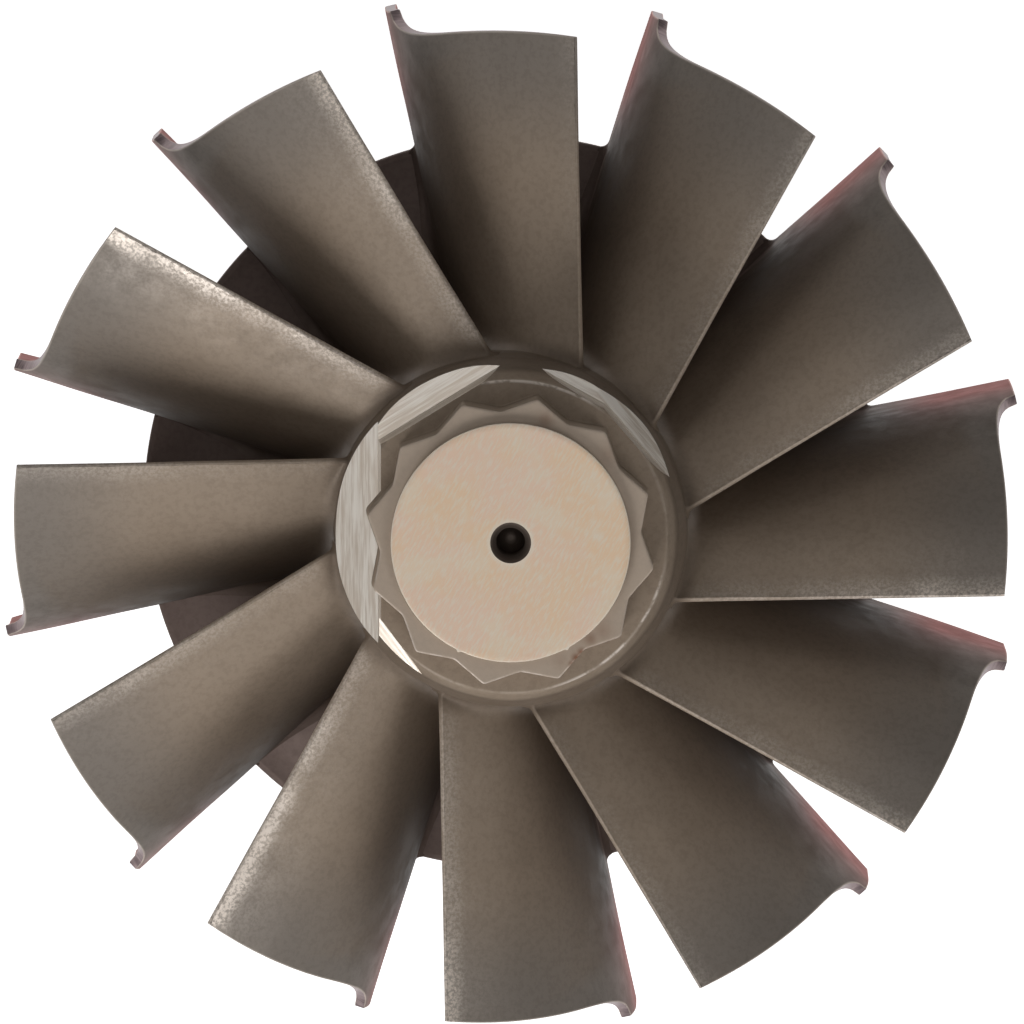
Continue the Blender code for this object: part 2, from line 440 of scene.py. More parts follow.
def stepped(start: float, ends: tuple[float, ...], cells: tuple[int, ...]) -> Array:
    """Rising numbers from a start through each end in turn.

    Args:
        start: The first number.
        ends: End of each section.
        cells: Number of even steps in each section.

    Returns:
        The numbers in one row.
    """
    values = [np.array([start])]
    for end, count in zip(ends, cells):
        values.append(np.linspace(values[-1][-1], end, count + 1)[1:])
    return np.concatenate(values)


def mount_piece(piece: bpy.types.Object) -> None:
    """Let a piece ride on the wheel's body in place of the CAD solid.

    Args:
        piece: Mesh object in the wheel's own frame.
    """
    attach(piece, BODY)
    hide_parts(WHEEL_NODE)


class NodeBench:
    """Adds nodes to one material and joins them."""

    def __init__(self, name: str) -> None:
        """Start an empty material.

        Args:
            name: Name of the material.
        """
        self.material = bpy.data.materials.new(name)
        self.material.use_nodes = True
        self.tree = self.material.node_tree
        self.shader = self.tree.nodes["Principled BSDF"]
        self.place = self.tree.nodes.new("ShaderNodeTexCoord").outputs["Object"]

    def put(self, socket: bpy.types.NodeSocket, value: object) -> None:
        """Link an output to a socket, or set the socket's own value.

        Args:
            socket: Input socket to feed.
            value: Output socket, or a plain value.
        """
        if isinstance(value, bpy.types.NodeSocket):
            self.tree.links.new(value, socket)
        else:
            socket.default_value = value

    def mapped(self, scale: tuple[float, float, float], turn: float = 0.0) -> bpy.types.NodeSocket:
        """Object coordinates, turned about Z and then stretched.

        Args:
            scale: Stretch along each axis.
            turn: Angle about Z, in radians.

        Returns:
            The coordinates.
        """
        turned = self.tree.nodes.new("ShaderNodeMapping")
        turned.inputs["Rotation"].default_value = (0.0, 0.0, turn)
        self.put(turned.inputs["Vector"], self.place)
        stretched = self.tree.nodes.new("ShaderNodeMapping")
        stretched.inputs["Scale"].default_value = scale
        self.put(stretched.inputs["Vector"], turned.outputs["Vector"])
        return stretched.outputs["Vector"]

    def noise(self, scale: float, detail: float = 3.0, roughness: float = 0.55,
              vector: bpy.types.NodeSocket | None = None) -> bpy.types.NodeSocket:
        """Noise value from 0 to 1.

        Args:
            scale: Features a metre.
            detail: Octaves of finer noise.
            roughness: Strength of the finer octaves.
            vector: Coordinates, the object's own where left out.

        Returns:
            The noise's value output.
        """
        item = self.tree.nodes.new("ShaderNodeTexNoise")
        item.inputs["Scale"].default_value = scale
        item.inputs["Detail"].default_value = detail
        item.inputs["Roughness"].default_value = roughness
        self.put(item.inputs["Vector"], self.place if vector is None else vector)
        return item.outputs["Fac"]

    def attribute(self, name: str) -> bpy.types.NodeSocket:
        """Number stored on the mesh's points.

        Args:
            name: Name of the attribute.

        Returns:
            The number.
        """
        item = self.tree.nodes.new("ShaderNodeAttribute")
        item.attribute_name = name
        return item.outputs["Fac"]

    def math(self, operation: str, first: object, second: object = 0.0,
             clamp: bool = False) -> bpy.types.NodeSocket:
        """Result of a Math node.

        Args:
            operation: Blender's name of the operation.
            first: First number.
            second: Second number.
            clamp: Whether the result is held between 0 and 1.

        Returns:
            The result.
        """
        item = self.tree.nodes.new("ShaderNodeMath")
        item.operation = operation
        item.use_clamp = clamp
        self.put(item.inputs[0], first)
        self.put(item.inputs[1], second)
        return item.outputs[0]

    def spread(self, value: bpy.types.NodeSocket, low: float, high: float,
               start: float, end: float) -> bpy.types.NodeSocket:
        """Map a range of values to another one, smoothly and clamped.

        Args:
            value: Number to map.
            low: Value that maps to the start.
            high: Value that maps to the end.
            start: Result at the low value and below.
            end: Result at the high value and above.

        Returns:
            The mapped number.
        """
        item = self.tree.nodes.new("ShaderNodeMapRange")
        item.interpolation_type = "SMOOTHSTEP"
        ends = ("From Min", "From Max", "To Min", "To Max")
        for key, number in zip(ends, (low, high, start, end)):
            item.inputs[key].default_value = number
        self.put(item.inputs["Value"], value)
        return item.outputs["Result"]

    def mix(self, share: object, first: object, second: object) -> bpy.types.NodeSocket:
        """Mix two colours.

        Args:
            share: Share of the second colour.
            first: Colour at share 0.
            second: Colour at share 1.

        Returns:
            The mixed colour.
        """
        item = self.tree.nodes.new("ShaderNodeMix")
        item.data_type = "RGBA"
        sockets = [socket for socket in item.inputs if socket.type == "RGBA"]
        self.put(item.inputs["Factor"], share)
        self.put(sockets[0], first)
        self.put(sockets[1], second)
        return [socket for socket in item.outputs if socket.type == "RGBA"][0]

    def cover(self, colour: object, *layers: tuple[object, object]) -> bpy.types.NodeSocket:
        """Lay colours over one another.

        Args:
            colour: Colour at the bottom.
            layers: Pairs of a share and a colour, from the lowest up.

        Returns:
            The colour on top.
        """
        for share, layer in layers:
            colour = self.mix(share, colour, layer)
        return colour

    def product(self, first: object, *others: object) -> bpy.types.NodeSocket:
        """Product of two or more numbers.

        Args:
            first: First number.
            others: Numbers to multiply it by.

        Returns:
            The product.
        """
        for other in others:
            first = self.math("MULTIPLY", first, other)
        return first

    def greatest(self, first: object, *others: object) -> bpy.types.NodeSocket:
        """Greatest of two or more numbers.

        Args:
            first: First number.
            others: Numbers to compare it with.

        Returns:
            The greatest.
        """
        for other in others:
            first = self.math("MAXIMUM", first, other)
        return first

    def between(self, share: object, low: float, high: float) -> bpy.types.NodeSocket:
        """Number that runs in proportion from low, at share 0, to high, at share 1."""
        return self.math("ADD", self.product(share, high - low), low)

    def bump(self, height: bpy.types.NodeSocket, depth: float, strength: float = 1.0,
             before: bpy.types.NodeSocket | None = None) -> bpy.types.NodeSocket:
        """Bump of a depth in metres, on top of another one if given.

        Args:
            height: Height from 0 to 1.
            depth: Height difference that 1 stands for.
            strength: Share of the bump that is used.
            before: Normal to start from, the surface's own where left out.

        Returns:
            The bent normal.
        """
        item = self.tree.nodes.new("ShaderNodeBump")
        item.inputs["Strength"].default_value = strength
        item.inputs["Distance"].default_value = depth
        self.put(item.inputs["Height"], height)
        if before is not None:
            self.put(item.inputs["Normal"], before)
        return item.outputs["Normal"]

    def radius(self) -> bpy.types.NodeSocket:
        """Distance from the wheel's axis.

        Returns:
            The distance.
        """
        flat = self.tree.nodes.new("ShaderNodeVectorMath")
        flat.operation = "MULTIPLY"
        flat.inputs[1].default_value = (1.0, 1.0, 0.0)
        self.put(flat.inputs[0], self.place)
        length = self.tree.nodes.new("ShaderNodeVectorMath")
        length.operation = "LENGTH"
        self.put(length.inputs[0], flat.outputs[0])
        return length.outputs["Value"]

    def height(self) -> bpy.types.NodeSocket:
        """Height above the end of the weld boss.

        Returns:
            The height.
        """
        parts = self.tree.nodes.new("ShaderNodeSeparateXYZ")
        self.put(parts.inputs[0], self.place)
        return parts.outputs["Z"]

    def finish(self, colour: object, metallic: object, roughness: object,
               normal: bpy.types.NodeSocket | None) -> bpy.types.Material:
        """Join the shader's inputs and hand back the material.

        Args:
            colour: Base colour.
            metallic: Share of metal.
            roughness: Roughness.
            normal: Bent normal, the surface's own where None.

        Returns:
            The finished material.
        """
        self.put(self.shader.inputs["Base Color"], colour)
        self.put(self.shader.inputs["Metallic"], metallic)
        self.put(self.shader.inputs["Roughness"], roughness)
        if normal is not None:
            self.put(self.shader.inputs["Normal"], normal)
        return self.material


@dataclass(frozen=True)
class CastAlloy:
    """Investment-cast nickel alloy: fine grain under a brown heat tint, plus painted shade low down
    and at the roots, and painted highlights and bounce glow.

    Heights are above the end of the weld boss and radii are from the axis. Gaps are
    distances to an edge or to the blade's root. Noise is in features a metre.
    """

    light: Colour = (0.39, 0.305, 0.23, 1.0)
    dark: Colour = (0.046, 0.028, 0.018, 1.0)
    cool: Colour = (0.255, 0.225, 0.198, 1.0)
    # Rosy inlet flanks: heat tint and a painted glow of light bounced up from the floor.
    rosy: Colour = (0.24, 0.148, 0.135, 1.0)
    rosy_gloss: Colour = (0.72, 0.34, 0.34, 1.0)
    mauve: Colour = (0.25, 0.19, 0.168, 1.0)
    # Pale colour of wear and of painted highlights on lit edges.
    worn: Colour = (0.82, 0.72, 0.63, 1.0)
    scraped: Colour = (0.68, 0.56, 0.455, 1.0)
    rust: Colour = (0.22, 0.085, 0.035, 1.0)
    metallic: float = 0.16
    flank_metallic: float = 0.85
    gloss_low: float = 0.03
    gloss_high: float = 0.27
    rough: Range = (0.44, 0.58)
    worn_polish: float = 0.16
    # Heights over which the alloy lightens upwards: heat tint and painted shade of the deep
    # passages.
    brown_heights: Range = (23.5 * MM, 45.5 * MM)
    disc_heights: Range = (13.0 * MM, 20.0 * MM)
    cool_radii: Range = (36.0 * MM, 51.0 * MM)
    lit_heights: Range = (31.0 * MM, 43.0 * MM)
    lit_radii: Range = (46.0 * MM, 51.0 * MM)
    flank_radii: Range = (39.0 * MM, 48.0 * MM)
    flank_heights: Range = (19.0 * MM, 35.0 * MM)
    star_heights: Range = (60.9 * MM, 61.2 * MM)
    # Gaps to the root within which painted shade darkens the surface.
    root_gaps: Range = (0.2 * MM, 2.2 * MM)
    line_gaps: Range = (0.07 * MM, 0.26 * MM)
    grain_gaps: Range = (0.1 * MM, 3.4 * MM)
    band_gaps: Range = (0.2 * MM, 3.0 * MM)
    haze_gaps: Range = (0.5 * MM, 9.0 * MM)
    tip_gaps: Range = (0.0, 0.25 * MM)
    clouds: float = 55.0
    patches: float = 130.0
    blotches: float = 420.0
    breaks: float = 520.0
    peel: float = 1300.0
    peel_depth: float = 0.03 * MM
    speckles: float = 1500.0
    pits: float = 2900.0
    grain: float = 5200.0
    grain_depth: float = 0.014 * MM

    def flank(self, bench: NodeBench) -> bpy.types.NodeSocket:
        """Share of the rosy colour, on the outer low part of a blade by its inlet edge: heat tint
        and a painted glow of light bounced up from the floor.

        Args:
            bench: Bench of the material.

        Returns:
            The share.
        """
        outer = bench.spread(bench.radius(), *self.flank_radii, 0.0, 0.9)
        low = bench.spread(bench.height(), *self.flank_heights, 1.0, 0.0)
        return bench.product(outer, low)

    def coolness(self, bench: NodeBench) -> bpy.types.NodeSocket:
        """Share of the cool tint, on the outer part of a blade where it is high or outermost.

        Args:
            bench: Bench of the material.

        Returns:
            The share.
        """
        outer = bench.spread(bench.radius(), *self.cool_radii, 0.0, 0.85)
        high = bench.spread(bench.height(), *self.lit_heights, 0.15, 1.0)
        outermost = bench.spread(bench.radius(), *self.lit_radii, 0.0, 1.0)
        return bench.product(outer, bench.greatest(high, outermost))

    def tint(self, bench: NodeBench, share: bpy.types.NodeSocket,
             flank: bpy.types.NodeSocket) -> bpy.types.NodeSocket:
        """Colour of the unworn surface, with painted shade and a painted bounce glow.

        Args:
            bench: Bench of the material.
            share: Share of the light alloy colour over the dark one; it falls low down, as heat
                tint and painted shade.
            flank: Share of the rosy colour: heat tint and a painted glow of light bounced from the
                floor.

        Returns:
            The colour, with its tints and painted light and shade one over the other.
        """
        speckles = bench.noise(self.speckles, 2.0, 0.7)
        return bench.cover(
            # Dark lower down: heat tint and painted shade of the deep passages.
            bench.mix(share, self.dark, self.light),
            (bench.spread(bench.height(), *self.disc_heights, 0.85, 0.0), self.mauve),
            (self.coolness(bench), self.cool),
            (bench.spread(speckles, 0.42, 0.66, 0.0, 0.12), self.dark),
            # Rosy inlet flanks: heat tint and a painted glow of light bounced from the floor.
            (flank, self.rosy),
            (bench.spread(bench.height(), *self.star_heights, 0.0, 0.5), self.scraped),
            # Darker at the blade roots and the collar's foot: painted shade.
            (bench.spread(bench.attribute("root_gap"), *self.root_gaps, 0.5, 0.0), self.dark))

    def wear(self, bench: NodeBench) -> bpy.types.NodeSocket:
        """Share of worn metal and painted highlight: a broken line on each edge, and a pitted band
        beside some.

        Args:
            bench: Bench of the material.

        Returns:
            The share.
        """
        gap = bench.attribute("edge_gap")
        broken = bench.spread(bench.noise(self.breaks, 3.0, 0.7), 0.40, 0.56, 0.15, 1.0)
        # Broken edge line: wear, with painted highlight on the ledge's rim arcs and the star's lamp
        # side.
        line = bench.product(bench.spread(gap, *self.line_gaps, 0.95, 0.0), broken,
                             bench.attribute("edge_wear"))
        # Patches set by the edge scuff, which also carries painted highlight blade by blade, scale
        # the grains and the band.
        patches = bench.spread(bench.noise(self.patches, 3.0, 0.5), 0.42, 0.6, 0.6, 1.0)
        patches = bench.product(patches, bench.attribute("edge_scuff"))
        pits = bench.noise(self.pits, 3.0, 0.7)
        grains = bench.product(bench.spread(gap, *self.grain_gaps, 0.75, 0.0),
                               bench.spread(pits, 0.52, 0.64, 0.0, 1.0), patches)
        # Band and haze beside the outlet edge: wear plus painted highlight where the lamps light
        # the blades' outer ends.
        band = bench.math("ADD", bench.spread(gap, *self.band_gaps, 0.46, 0.0),
                          bench.spread(gap, *self.haze_gaps, 0.08, 0.0))
        band = bench.product(band, bench.spread(pits, 0.40, 0.58, 0.4, 1.1), patches)
        tip = bench.spread(bench.attribute("tip_gap"), *self.tip_gaps, 0.5, 0.0)
        return bench.greatest(line, grains, band, tip)

    def make(self) -> bpy.types.Material:
        """Tint by height, radius and clouds, with painted shade and bounce glow; worn edges with
        painted highlights, and rust; bump from two sizes of grain.

        Returns:
            The finished material.
        """
        bench = NodeBench(Finish.CAST.value)
        blotches = bench.noise(self.blotches, 3.0, 0.65)
        drift = bench.math("ADD", bench.product(bench.noise(self.clouds, 2.0), 0.28),
                           bench.product(blotches, 0.2))
        # Darker lower down: heat tint and painted shade of the deep passages.
        high = bench.spread(bench.height(), *self.brown_heights, 0.0, 1.0)
        share = bench.math("ADD", high, bench.math("SUBTRACT", drift, 0.25), clamp=True)
        flank, wear = self.flank(bench), self.wear(bench)
        # Pale layer: real wear plus painted highlights on lit edges.
        colour = bench.cover(self.tint(bench, share, flank), (wear, self.worn),
                             (bench.attribute("oxide"), self.rust))
        rough = bench.math("SUBTRACT", bench.spread(blotches, 0.3, 0.7, *self.rough),
                           bench.product(wear, self.worn_polish))
        peel = bench.bump(bench.noise(self.peel, 2.0), self.peel_depth, 0.35)
        normal = bench.bump(bench.noise(self.grain, 2.0, 0.6), self.grain_depth, 0.6, peel)
        metallic = bench.between(flank, self.metallic, self.flank_metallic)
        level = bench.shader.inputs["Specular IOR Level"]
        level.default_value = self.gloss_high
        gloss = bench.between(bench.product(share, share), self.gloss_low, self.gloss_high)
        bench.put(level, gloss)
        bench.put(bench.shader.inputs["Specular Tint"], bench.mix(flank, WHITE, self.rosy_gloss))
        return bench.finish(colour, metallic, rough, normal)


@dataclass(frozen=True)
class TurnedBack:
    """Turned surface of the conical back and the weld boss, with fine rings."""

    base: Colour = (0.34, 0.30, 0.265, 1.0)
    stain: Colour = (0.20, 0.155, 0.12, 1.0)
    metallic: float = 0.75
    rough: Range = (0.3, 0.46)
    rings: float = 2600.0
    ring_depth: float = 0.02 * MM
    stains: float = 90.0

    def make(self) -> bpy.types.Material:
        """Rings are noise read along the radius and the height; stains are clouds.

        Returns:
            The finished material.
        """
        bench = NodeBench(Finish.TURNED.value)
        line = bench.tree.nodes.new("ShaderNodeCombineXYZ")
        bench.put(line.inputs[0], bench.radius())
        bench.put(line.inputs[1], bench.height())
        rings = bench.noise(self.rings, 2.0, 0.7, line.outputs[0])
        stain = bench.spread(bench.noise(self.stains, 5.0, 0.6), 0.42, 0.68, 0.0, 0.8)
        return bench.finish(bench.mix(stain, self.base, self.stain), self.metallic,
                            bench.spread(rings, 0.3, 0.7, *self.rough),
                            bench.bump(rings, self.ring_depth, 0.6))


@dataclass(frozen=True)
class BrushedFace:
    """Warm turned face of the nose, brushed along one slanting direction."""

    base: Colour = (1.0, 0.735, 0.50, 1.0)
    pale: Colour = (1.0, 0.91, 0.77, 1.0)
    rosy: Colour = (1.0, 0.74, 0.56, 1.0)
    grey: Colour = (0.98, 0.80, 0.60, 1.0)
    metallic: float = 0.25
    rough: Range = (0.38, 0.48)
    stroke: tuple[float, float, float] = (900.0, 4600.0, 900.0)
    stroke_turn: float = math.radians(-60.0)
    stroke_depth: float = 0.008 * MM
    clouds: float = 150.0
    patches: float = 240.0
    lip_radii: Range = (2.15 * MM, 2.7 * MM)
    # Radii of the pale ring on the face's rim chamfer: a painted highlight.
    rim_radii: Range = (12.24 * MM, 12.4 * MM)

    def make(self) -> bpy.types.Material:
        """Strokes are noise stretched along the brushing; tints are soft clouds.

        Returns:
            The finished material.
        """
        bench = NodeBench(Finish.FACE.value)
        strokes = bench.noise(1.0, 2.0, 0.55, bench.mapped(self.stroke, self.stroke_turn))
        clouds = bench.noise(self.clouds, 3.0, 0.5)
        patches = bench.noise(self.patches, 2.0, 0.5)
        colour = bench.cover(
            self.base,
            (bench.spread(clouds, 0.38, 0.62, 0.0, 1.0), self.rosy),
            (bench.spread(patches, 0.5, 0.68, 0.0, 0.8), self.grey),
            (bench.spread(strokes, 0.42, 0.68, 0.0, 0.55), self.pale),
            (bench.spread(bench.radius(), *self.lip_radii, 0.6, 0.0), self.pale),
            # Pale rim chamfer: painted highlight.
            (bench.spread(bench.radius(), *self.rim_radii, 0.0, 0.7), self.pale))
        return bench.finish(colour, self.metallic, bench.spread(strokes, 0.3, 0.7, *self.rough),
                            bench.bump(strokes, self.stroke_depth, 0.4))


@dataclass(frozen=True)
class GroundMetal:
    """Bare ground metal, streaked along the chord of each flat."""

    name: str = Finish.GROUND.value
    base: Colour = (0.70, 0.60, 0.50, 1.0)
    pale: Colour = (1.0, 0.93, 0.84, 1.0)
    metallic: float = 0.6
    rough: Range = (0.33, 0.37)
    fine: tuple[float, float, float] = (170.0, 170.0, 11000.0)
    broad: tuple[float, float, float] = (60.0, 60.0, 3200.0)
    fine_share: float = 0.6
    depth: float = 0.012 * MM

    def make(self) -> bpy.types.Material:
        """Streaks are noise stretched sideways, so they lie level on every flat.

        Returns:
            The finished material.
        """
        bench = NodeBench(self.name)
        fine = bench.noise(1.0, 3.0, 0.65, bench.mapped(self.fine))
        broad = bench.noise(1.0, 2.0, 0.5, bench.mapped(self.broad))
        streaks = bench.math("ADD", bench.product(fine, self.fine_share),
                             bench.product(broad, 1.0 - self.fine_share))
        colour = bench.mix(bench.spread(streaks, 0.4, 0.6, 0.0, 1.0), self.base, self.pale)
        return bench.finish(colour, self.metallic, bench.spread(streaks, 0.35, 0.65, *self.rough),
                            bench.bump(streaks, self.depth, 0.5))


@dataclass(frozen=True)
class DrilledHole:
    """Dark drilled wall of the centre hole."""

    base: Colour = (0.10, 0.075, 0.06, 1.0)
    lip: Colour = (0.30, 0.24, 0.20, 1.0)
    metallic: float = 0.6
    rough: Range = (0.35, 0.5)
    ring: tuple[float, float, float] = (60.0, 60.0, 4000.0)
    ring_depth: float = 0.02 * MM

    def make(self) -> bpy.types.Material:
        """Tool rings are noise read along the height.

        Returns:
            The finished material.
        """
        bench = NodeBench(Finish.HOLE.value)
        rings = bench.noise(1.0, 2.0, 0.6, bench.mapped(self.ring))
        return bench.finish(bench.mix(rings, self.base, self.lip), self.metallic,
                            bench.spread(rings, 0.3, 0.7, *self.rough),
                            bench.bump(rings, self.ring_depth, 0.6))


@dataclass
class Hub:
    """Turned hub: ledge, shoulder, hub line, disc rim, conical back and weld boss.

    An arc of wear and painted highlight on the ledge's rim is its middle azimuth and the half
    widths, in degrees, at which it starts and stops fading. Rows count along the profile from the
    axis.
    """

    form: WheelForm
    columns: int = 300
    rim_round: float = 0.45 * MM
    ledge_round: float = 0.22 * MM
    ledge_radii: tuple[float, ...] = (0.0, 7.0 * MM, 12.0 * MM, 14.5 * MM, 15.6 * MM, 15.98 * MM)
    shoulder_shares: tuple[float, ...] = (0.06, 0.09, *np.linspace(0.13, 1.0, 17))
    hub_rows: int = 150
    cone_rows: int = 26
    cone_inset: float = 1.2 * MM
    boss_chamfer: float = 0.6 * MM
    boss_radii: tuple[float, ...] = (9.0 * MM, 4.0 * MM, 0.0)
    wave: float = 0.035 * MM
    ledge_rows: int = 11
    rim_rows: int = 4
    turned_after: int = 2
    # Arcs of ledge-rim wear and painted highlight.
    worn_arcs: tuple[tuple[float, float, float], ...] = ((84.0, 18.0, 36.0), (-42.0, 20.0, 42.0))
    least_wear: float = 0.15
    shoulder_z: float = 50.5 * MM
    valley_heights: Range = (24.0 * MM, 38.0 * MM)
    lit_gap: float = 3.0 * MM

    def front_profile(self) -> Array:
        """Profile from the axis along the ledge, shoulder and hub line to the rim.

        Returns:
            Points (radius, height), one row each.
        """
        form = self.form
        ledge = [(radius, form.ledge_z) for radius in self.ledge_radii]
        corner = arc((form.ledge_radius - self.ledge_round, form.ledge_z - self.ledge_round),
                     self.ledge_round, 90.0, 15.0, 4)
        shoulder = form.shoulder_line(np.array(self.shoulder_shares))
        line = form.hub_line(form.last_turn() * np.linspace(0.0, 1.0, self.hub_rows)[1:-1])
        line = line[line[:, 0] < form.disc_radius - self.rim_round]
        rim = arc((form.disc_radius - self.rim_round, form.rim_top_z() - self.rim_round),
                  self.rim_round, 80.0, 0.0, 5)
        return np.concatenate([ledge, corner, shoulder, line, rim])

    def back_profile(self) -> Array:
        """Profile from the rim along the cone, the fillet and the boss to the axis.

        Returns:
            Points (radius, height), one row each.
        """
        form = self.form
        slope = math.degrees(form.back_slope)
        low = arc((form.disc_radius - self.rim_round, form.rim_back_z + 1.02 * self.rim_round),
                  self.rim_round, 0.0, -90.0 + slope, 5)
        fillet_radius = form.boss_radius + form.boss_fillet
        radius = np.linspace(form.disc_radius - self.cone_inset, fillet_radius, self.cone_rows)
        cone = np.stack([radius, form.back_z(radius)], axis=-1)
        fillet = arc((fillet_radius, form.back_z(fillet_radius) - form.boss_fillet),
                     form.boss_fillet, 90.0 + slope, 180.0, 8)
        boss = [(form.boss_radius, self.boss_chamfer), (form.boss_radius - self.boss_chamfer, 0.0)]
        boss += [(radius, 0.0) for radius in self.boss_radii]
        return np.concatenate([low, cone, fillet, boss])

    def build(self) -> bpy.types.Object:
        """Turn the profile round the axis with a slight casting wave, and cut the flats.

        Each point is (radius cos a, radius sin a, height); the wave moves the cast
        front side by a few hundredths of a millimetre, as a sum of sines of the
        azimuth and the height.

        Returns:
            The hub's object.
        """
        front = self.front_profile()
        profile = np.concatenate([front, self.back_profile()])
        azimuth = np.linspace(0.0, FULL_TURN, self.columns, endpoint=False)[None, :]
        radius, height = profile[:, :1], profile[:, 1:]
        row = np.arange(len(profile))[:, None]
        cast = (row >= self.ledge_rows) & (row < len(front) - self.rim_rows)
        wave = np.sin(5.0 * azimuth + 310.0 * height)
        wave = wave + np.sin(11.0 * azimuth - 520.0 * height + 1.7)
        wavy = radius + self.wave * cast * wave
        rings = np.stack([wavy * np.cos(azimuth), wavy * np.sin(azimuth),
                          np.broadcast_to(height, wavy.shape)], axis=-1)
        turned = (row[:-1, 0] >= len(front) + self.turned_after).astype(int)
        piece = add_object("hub", ring_solid("hub", rings, turned))
        give_finishes(piece.data, Finish.CAST, Finish.TURNED)
        self.cut_flats(piece)
        shade(piece.data)
        self.mark(piece.data)
        return piece

    def cut_flats(self, piece: bpy.types.Object) -> None:
        """Cut every ground flat out of the collar; the cuts keep the cutters' finish.

        Args:
            piece: The hub's object.
        """
        side = np.arange(4)
        after = (side + 1) % 4
        walls = np.stack([after, side, side + 4, after + 4], axis=-1)
        faces = np.concatenate([[[0, 1, 2, 3], [7, 6, 5, 4]], walls])
        cutters = []
        for index, flat in enumerate(FLATS, start=1):
            corners = flat.cutter_points(self.form.ledge_z)
            mesh = polygon_mesh(f"flat_cutter_{index}", corners, [faces])
            give_finishes(mesh, Finish.GROUND)
            cutter = add_object(mesh.name, mesh)
            change = piece.modifiers.new(mesh.name, "BOOLEAN")
            change.operation = "DIFFERENCE"
            change.solver = "EXACT"
            change.material_mode = "TRANSFER"
            change.object = cutter
            cutters.append(cutter)
        bpy.context.view_layer.update()
        graph = bpy.context.evaluated_depsgraph_get()
        cut = bpy.data.meshes.new_from_object(piece.evaluated_get(graph))
        piece.modifiers.clear()
        piece.data = cut
        for cutter in cutters:
            bpy.data.objects.remove(cutter, do_unlink=True)

    def mark(self, mesh: bpy.types.Mesh) -> None:
        """Store the wear and painted highlight of the ledge's rim and the painted shade of the
        collar's foot.

        Args:
            mesh: Mesh of the hub, with its flats cut.
        """
        points = np.empty(len(mesh.vertices) * 3, np.float32)
        mesh.vertices.foreach_get("co", points)
        points = points.reshape(-1, 3)
        height = points[:, 2]
        middle = 0.5 * self.ledge_round
        across = np.hypot(points[:, 0], points[:, 1]) - self.form.ledge_radius + middle
        # Painted shade: a made-up root gap, nil from 38 mm up to the shoulder and growing above and
        # below, darkens the collar's foot.
        above = smooth_step(height, self.shoulder_z, self.form.ledge_z)
        below = 1.0 - smooth_step(height, *self.valley_heights)
        SurfaceMarks(edge_gap=np.hypot(across, height - self.form.ledge_z + middle),
                     edge_wear=self.ledge_wear(points),
                     root_gap=self.lit_gap * (above + below)).store(mesh)

    def ledge_wear(self, points: Array) -> Array:
        """Wear and painted highlight of the ledge's rim: strong at the top of the picture and at
        its lower right.

        Args:
            points: Positions on the hub, one row each.

        Returns:
            The share of wear and painted highlight at each point, from the least wear to 1.
        """
        azimuth = np.degrees(np.arctan2(points[:, 1], points[:, 0]))
        worn = [1.0 - smooth_step(np.abs(azimuth - middle), full, end)
                for middle, full, end in self.worn_arcs]
        return np.maximum(np.max(worn, axis=0), self.least_wear)


